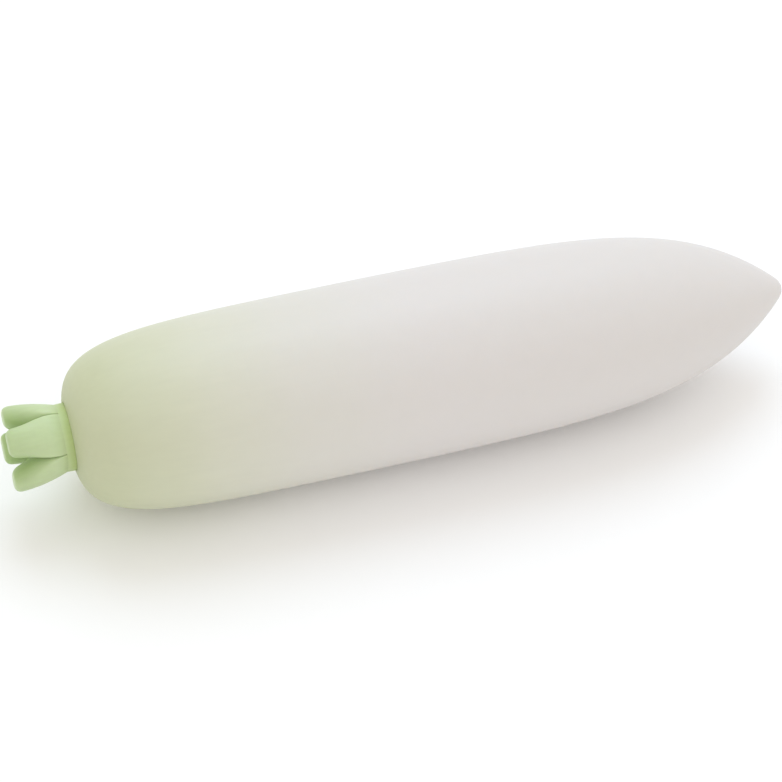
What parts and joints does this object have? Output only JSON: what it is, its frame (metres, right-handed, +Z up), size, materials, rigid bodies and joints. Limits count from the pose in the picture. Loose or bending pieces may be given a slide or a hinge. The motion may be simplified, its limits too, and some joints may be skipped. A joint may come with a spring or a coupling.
{
  "type": "daikon radish",
  "caption": "Whole daikon radish, white with a green crown end, trimmed to short leaf stalks and lying on a small flat along its underside.",
  "frame": {"origin": "on the resting surface, under the middle of the daikon's length and width", "axes": "+X along the root towards its tip, with the crown and leaf stalks at -X; +Z up from the flat that it rests on"},
  "size_m": [0.3404, 0.08, 0.079],
  "materials": {
    "root_skin": "smooth matte vegetable skin, pale yellow-green at the crown end and off-white to the tip",
    "crown_skin": "smooth matte yellow-green skin",
    "stalk_skin": "smooth matte light green stalk, a little paler at the cut end"
  },
  "bodies": {
    "root": {"root": "root_skin", "crown": "crown_skin", "leaf_stalk_front_upper": "stalk_skin", "leaf_stalk_back_upper": "stalk_skin", "leaf_stalk_back_lower": "stalk_skin", "leaf_stalk_front_lower": "stalk_skin"}
  },
  "joints": []
}
